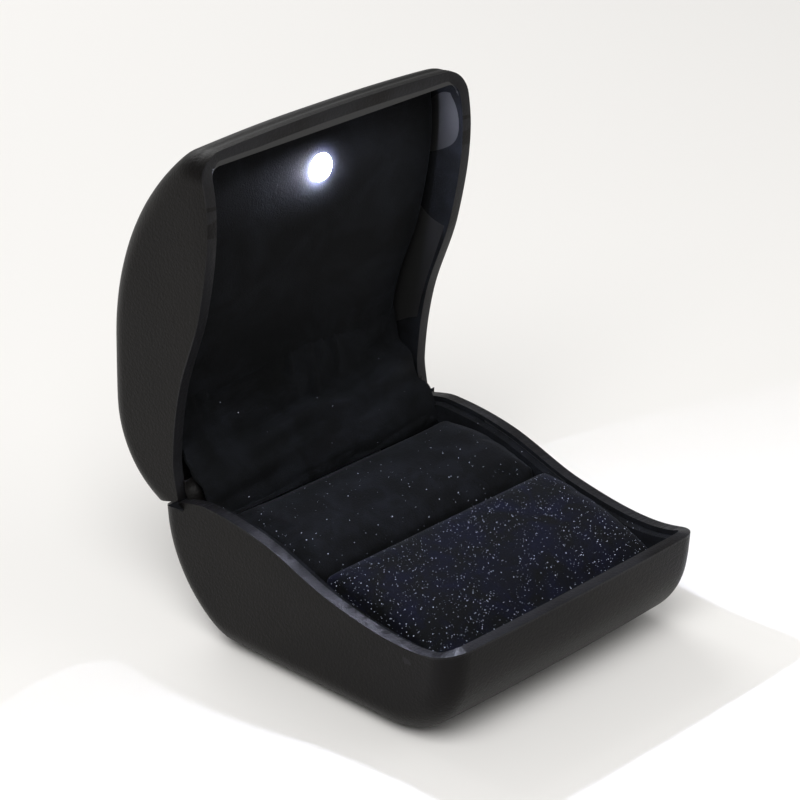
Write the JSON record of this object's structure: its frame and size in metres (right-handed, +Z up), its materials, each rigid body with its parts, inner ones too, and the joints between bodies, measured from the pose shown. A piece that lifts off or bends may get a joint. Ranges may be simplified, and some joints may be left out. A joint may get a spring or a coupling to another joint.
{
  "type": "ring box",
  "caption": "Lighted ring box with a domed hinged lid, leather-covered outside, and padded velvet ring rolls with a slot inside.",
  "frame": {"origin": "on the flat face of the bottom pad that the box stands on, on the middle plane across the width, a little behind the middle of the depth", "axes": "+Z up, -Y towards the front where the lid opens, X across the width and along the hinge pin"},
  "size_m": [0.06, 0.0822, 0.0895],
  "materials": {
    "leather": "soft grained, semi-matte",
    "velvet": "short-pile velvet",
    "pad_felt": "felt",
    "moulded_plastic": "matte",
    "card": "matte card",
    "hinge_steel": "brushed",
    "lamp_lens": "clear",
    "circuit_board": "satin",
    "resistor_body": "matte",
    "cell_steel": "satin",
    "contact_metal": "plated",
    "wire_red": "matte",
    "wire_black": "matte",
    "plunger_plastic": "matte"
  },
  "bodies": {
    "base": {"base_leather_skin": "leather", "hinge_leather_spine": "leather", "base_liner": "velvet", "rear_ring_roll": "velvet", "front_ring_roll": "velvet", "hinge_velvet_gusset": "velvet", "base_bottom_pad": "pad_felt", "base_shell": "moulded_plastic", "base_floor_card": "card", "hinge_base_leaf": "hinge_steel", "hinge_pin": "hinge_steel", "hinge_base_rivets": "hinge_steel"},
    "lid": {"lid_shell": "moulded_plastic", "lid_leather_skin": "leather", "lid_panel": "velvet", "lid_panel_card": "card", "led_lens": "lamp_lens", "led_board": "circuit_board", "led_resistor": "resistor_body", "battery_holder": "moulded_plastic", "battery_contact": "contact_metal", "coin_cell": "cell_steel", "led_wire_left": "wire_red", "led_wire_right": "wire_black", "hinge_lid_leaf": "hinge_steel", "hinge_lid_rivets": "hinge_steel", "switch_body": "moulded_plastic"},
    "plunger": {"switch_plunger": "plunger_plastic"}
  },
  "joints": [
    {"name": "lid_hinge", "type": "hinge", "parent": "base", "child": "lid", "pos_m": [0, 0.025, 0.0253], "axis": [1, 0, 0], "range_deg": [0, 85], "deforming": ["hinge_velvet_gusset", "hinge_leather_spine"]},
    {"name": "switch_travel", "type": "slide", "parent": "lid", "child": "plunger", "axis": [0, 0.9962, 0.0872], "range_m": [0, 0.0012]}
  ],
  "couplings": [
    {"joint": "switch_travel", "follows": "lid_hinge", "m_per_rad": 0.0008}
  ]
}
